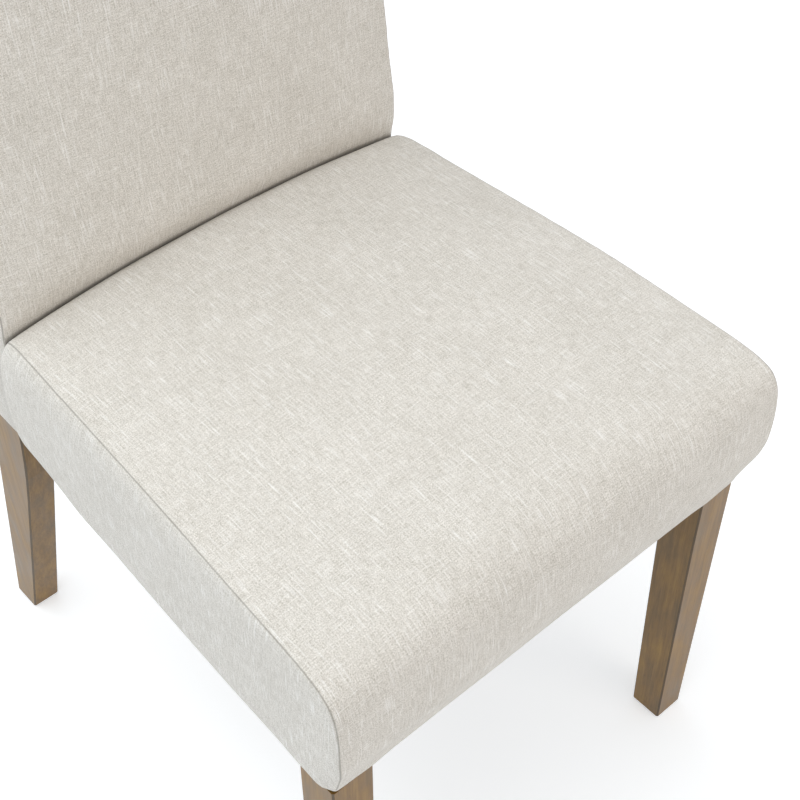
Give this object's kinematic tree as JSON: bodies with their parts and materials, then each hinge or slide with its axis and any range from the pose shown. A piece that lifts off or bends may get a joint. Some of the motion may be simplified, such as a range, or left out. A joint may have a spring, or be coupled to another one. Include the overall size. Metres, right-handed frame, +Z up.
{
  "type": "parsons chair",
  "caption": "Upholstered dining chair with a thick box seat, a raked padded back and square tapered wooden legs.",
  "frame": {"origin": "on the floor, under the middle of the chair's footprint", "axes": "+Z up, +X to the right seen from the front, +Y from the front legs to the rear legs"},
  "size_m": [0.472, 0.604, 1],
  "materials": {
    "stained_wood": "satin stain, greyed walnut",
    "frame_wood": "planed, unfinished",
    "linen": "slubby plain weave",
    "foam": "open-cell foam",
    "wadding": "fibre fill",
    "webbing": "woven strap",
    "dust_cloth": "non-woven",
    "hardboard": "smooth board",
    "steel": "zinc plated",
    "nylon": "moulded"
  },
  "bodies": {
    "root": {"front_leg_left": "stained_wood", "front_leg_right": "stained_wood", "back_post_left": "stained_wood", "back_post_right": "stained_wood", "seat_front_rail": "frame_wood", "seat_rear_rail": "frame_wood", "seat_side_rail_left": "frame_wood", "seat_side_rail_right": "frame_wood", "front_block_left": "frame_wood", "front_block_right": "frame_wood", "rear_block_left": "frame_wood", "rear_block_right": "frame_wood", "back_lower_rail": "frame_wood", "back_middle_rail": "frame_wood", "back_top_rail": "frame_wood", "front_block_screw_left_1": "steel", "front_block_screw_left_2": "steel", "front_block_screw_right_1": "steel", "front_block_screw_right_2": "steel", "rear_block_screw_left_1": "steel", "rear_block_screw_left_2": "steel", "rear_block_screw_right_1": "steel", "rear_block_screw_right_2": "steel", "hanger_bolt_left": "steel", "hanger_bolt_right": "steel", "leg_washer_left": "steel", "leg_washer_right": "steel", "leg_nut_left": "steel", "leg_nut_right": "steel", "seat_bolt_1": "steel", "seat_bolt_2": "steel", "seat_bolt_3": "steel", "seat_bolt_4": "steel", "tee_nut_1": "steel", "tee_nut_2": "steel", "tee_nut_3": "steel", "tee_nut_4": "steel", "seat_strap_long_1": "webbing", "seat_strap_long_2": "webbing", "seat_strap_long_3": "webbing", "seat_strap_cross_1": "webbing", "seat_strap_cross_2": "webbing", "back_strap_1": "webbing", "back_strap_2": "webbing", "back_strap_3": "webbing", "seat_foam": "foam", "back_foam": "foam", "seat_wadding": "wadding", "seat_cover": "linen", "back_cover": "linen", "back_rear_cover": "linen", "dust_cover": "dust_cloth", "back_hardboard": "hardboard", "front_glide_left": "nylon", "front_glide_right": "nylon", "rear_glide_left": "nylon", "rear_glide_right": "nylon"}
  },
  "joints": []
}
